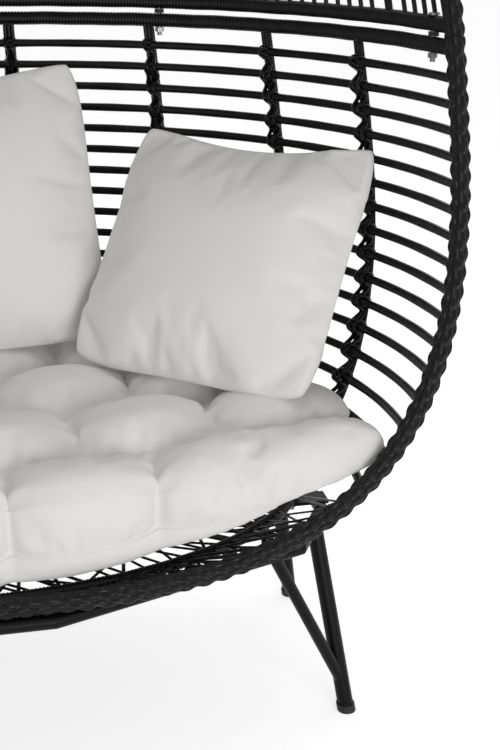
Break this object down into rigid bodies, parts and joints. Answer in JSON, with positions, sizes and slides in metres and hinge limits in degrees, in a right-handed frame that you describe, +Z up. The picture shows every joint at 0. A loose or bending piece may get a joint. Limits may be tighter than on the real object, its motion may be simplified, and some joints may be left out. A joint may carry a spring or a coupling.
{
  "type": "garden lounge chair",
  "caption": "Two-seat egg-shaped wicker garden chair with a bolted hood, tufted seat cushion and loose pillows on a splayed steel tube base.",
  "frame": {"origin": "on the floor, at the middle of the object's box", "axes": "+Z up, the seat opens towards -Y, +X to the right of someone looking at the front"},
  "size_m": [1.4362, 0.83, 1.56],
  "materials": {
    "wicker": "black moulded resin wicker, satin",
    "base_steel": "black powder coat, satin",
    "fastener_steel": "zinc plated",
    "glide_plastic": "black moulded plastic",
    "cushion_fabric": "off-white woven polyester"
  },
  "bodies": {
    "root": {"back_rod_01": "wicker", "back_rod_02": "wicker", "back_rod_03": "wicker", "back_rod_04": "wicker", "back_rod_05": "wicker", "back_rod_06": "wicker", "back_rod_07": "wicker", "back_rod_08": "wicker", "back_rod_09": "wicker", "back_rod_10": "wicker", "back_rod_11": "wicker", "back_rod_12": "wicker", "back_rod_13": "wicker", "back_rod_14": "wicker", "back_rod_15": "wicker", "back_rod_16": "wicker", "base_bolts": "fastener_steel", "base_nuts": "fastener_steel", "base_ring": "base_steel", "base_tabs": "base_steel", "basket_rib_1": "wicker", "basket_rib_2": "wicker", "basket_rib_3": "wicker", "basket_rib_4": "wicker", "basket_rib_5": "wicker", "basket_rib_6": "wicker", "basket_rib_7": "wicker", "basket_rib_8": "wicker", "basket_rim": "wicker", "basket_top_rail": "wicker", "brace_front_left": "base_steel", "brace_front_right": "base_steel", "brace_rear_left": "base_steel", "brace_rear_right": "base_steel", "foot_glides": "glide_plastic", "hood_bolts": "fastener_steel", "hood_bottom_rail": "wicker", "hood_nuts": "fastener_steel", "hood_rib_1": "wicker", "hood_rib_2": "wicker", "hood_rib_3": "wicker", "hood_rib_4": "wicker", "hood_rim": "wicker", "hood_rods": "wicker", "hood_spacers": "glide_plastic", "leg_front_left": "base_steel", "leg_front_right": "base_steel", "leg_rear_left": "base_steel", "leg_rear_right": "base_steel", "pillow_centre": "cushion_fabric", "pillow_left": "cushion_fabric", "pillow_right": "cushion_fabric", "seat_cushion": "cushion_fabric", "seat_hoop": "wicker", "seat_net": "wicker"}
  },
  "joints": []
}
